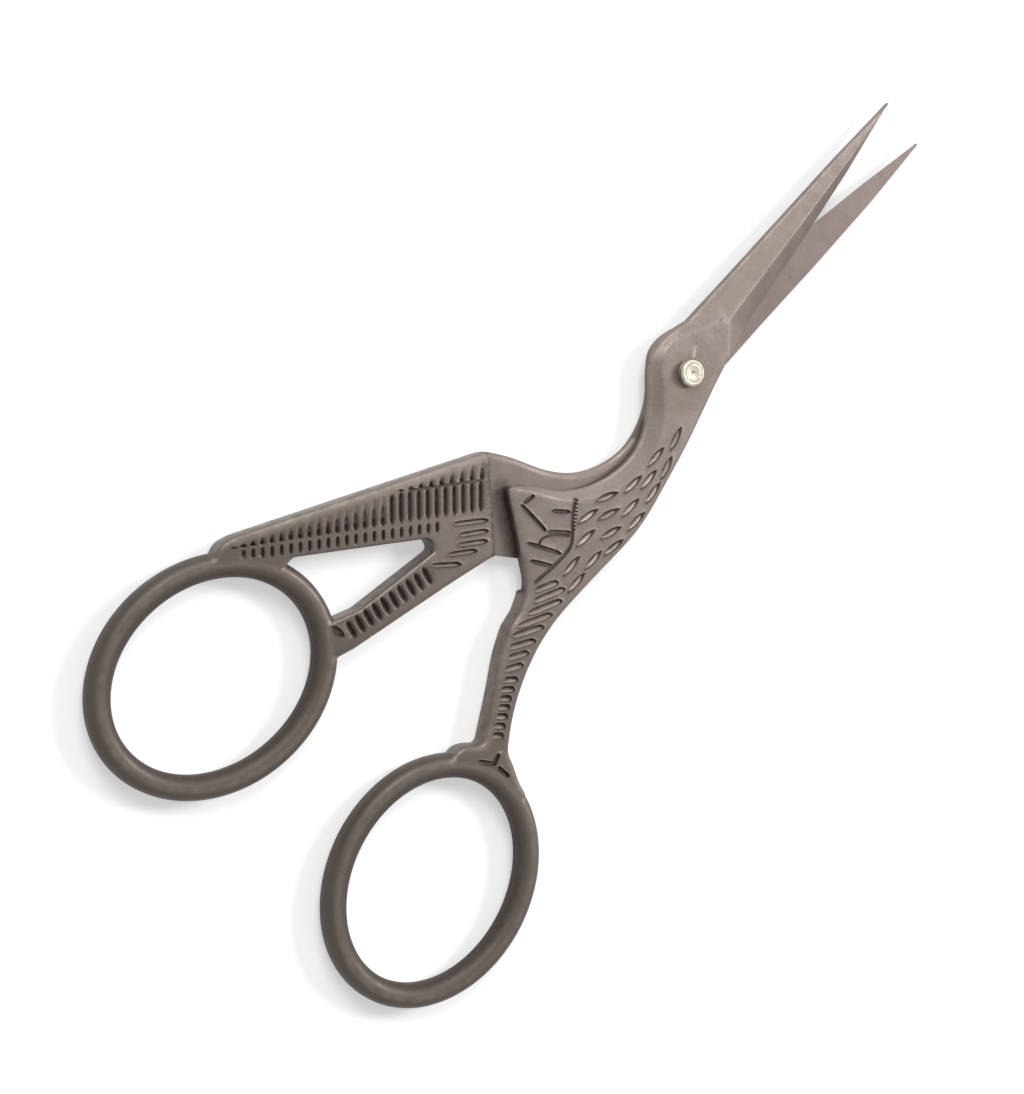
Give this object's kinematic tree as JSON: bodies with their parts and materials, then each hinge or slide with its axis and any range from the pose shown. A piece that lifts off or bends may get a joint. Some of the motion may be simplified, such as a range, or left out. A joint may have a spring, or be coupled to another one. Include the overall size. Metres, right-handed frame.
{
  "type": "embroidery scissors",
  "caption": "Small embroidery scissors shaped as a wading bird: the beak is the blades, and the leg and wing end in oval finger rings.",
  "frame": {"origin": "on the pivot axis, in the flat outer face of the wing half, on which the scissors lie", "axes": "+X along the middle line between the two blades, towards their tips; +Z along the pivot axis, towards the leg half and the rivet-like tail of the screw; +Y towards the wing half's ring"},
  "size_m": [0.1141, 0.0567, 0.0038],
  "materials": {
    "coated_steel": "matt warm grey-brown coating over forged steel",
    "bright_steel": "turned and peened, plain nickel-like"
  },
  "bodies": {
    "wing_body": {"wing_half": "coated_steel"},
    "leg_body": {"leg_half": "coated_steel", "pivot_screw": "bright_steel"}
  },
  "joints": [
    {"name": "pivot", "type": "hinge", "parent": "wing_body", "child": "leg_body", "pos_m": [0, 0, 0], "axis": [0, 0, 1], "range_deg": [-8.6, 141.4]}
  ]
}
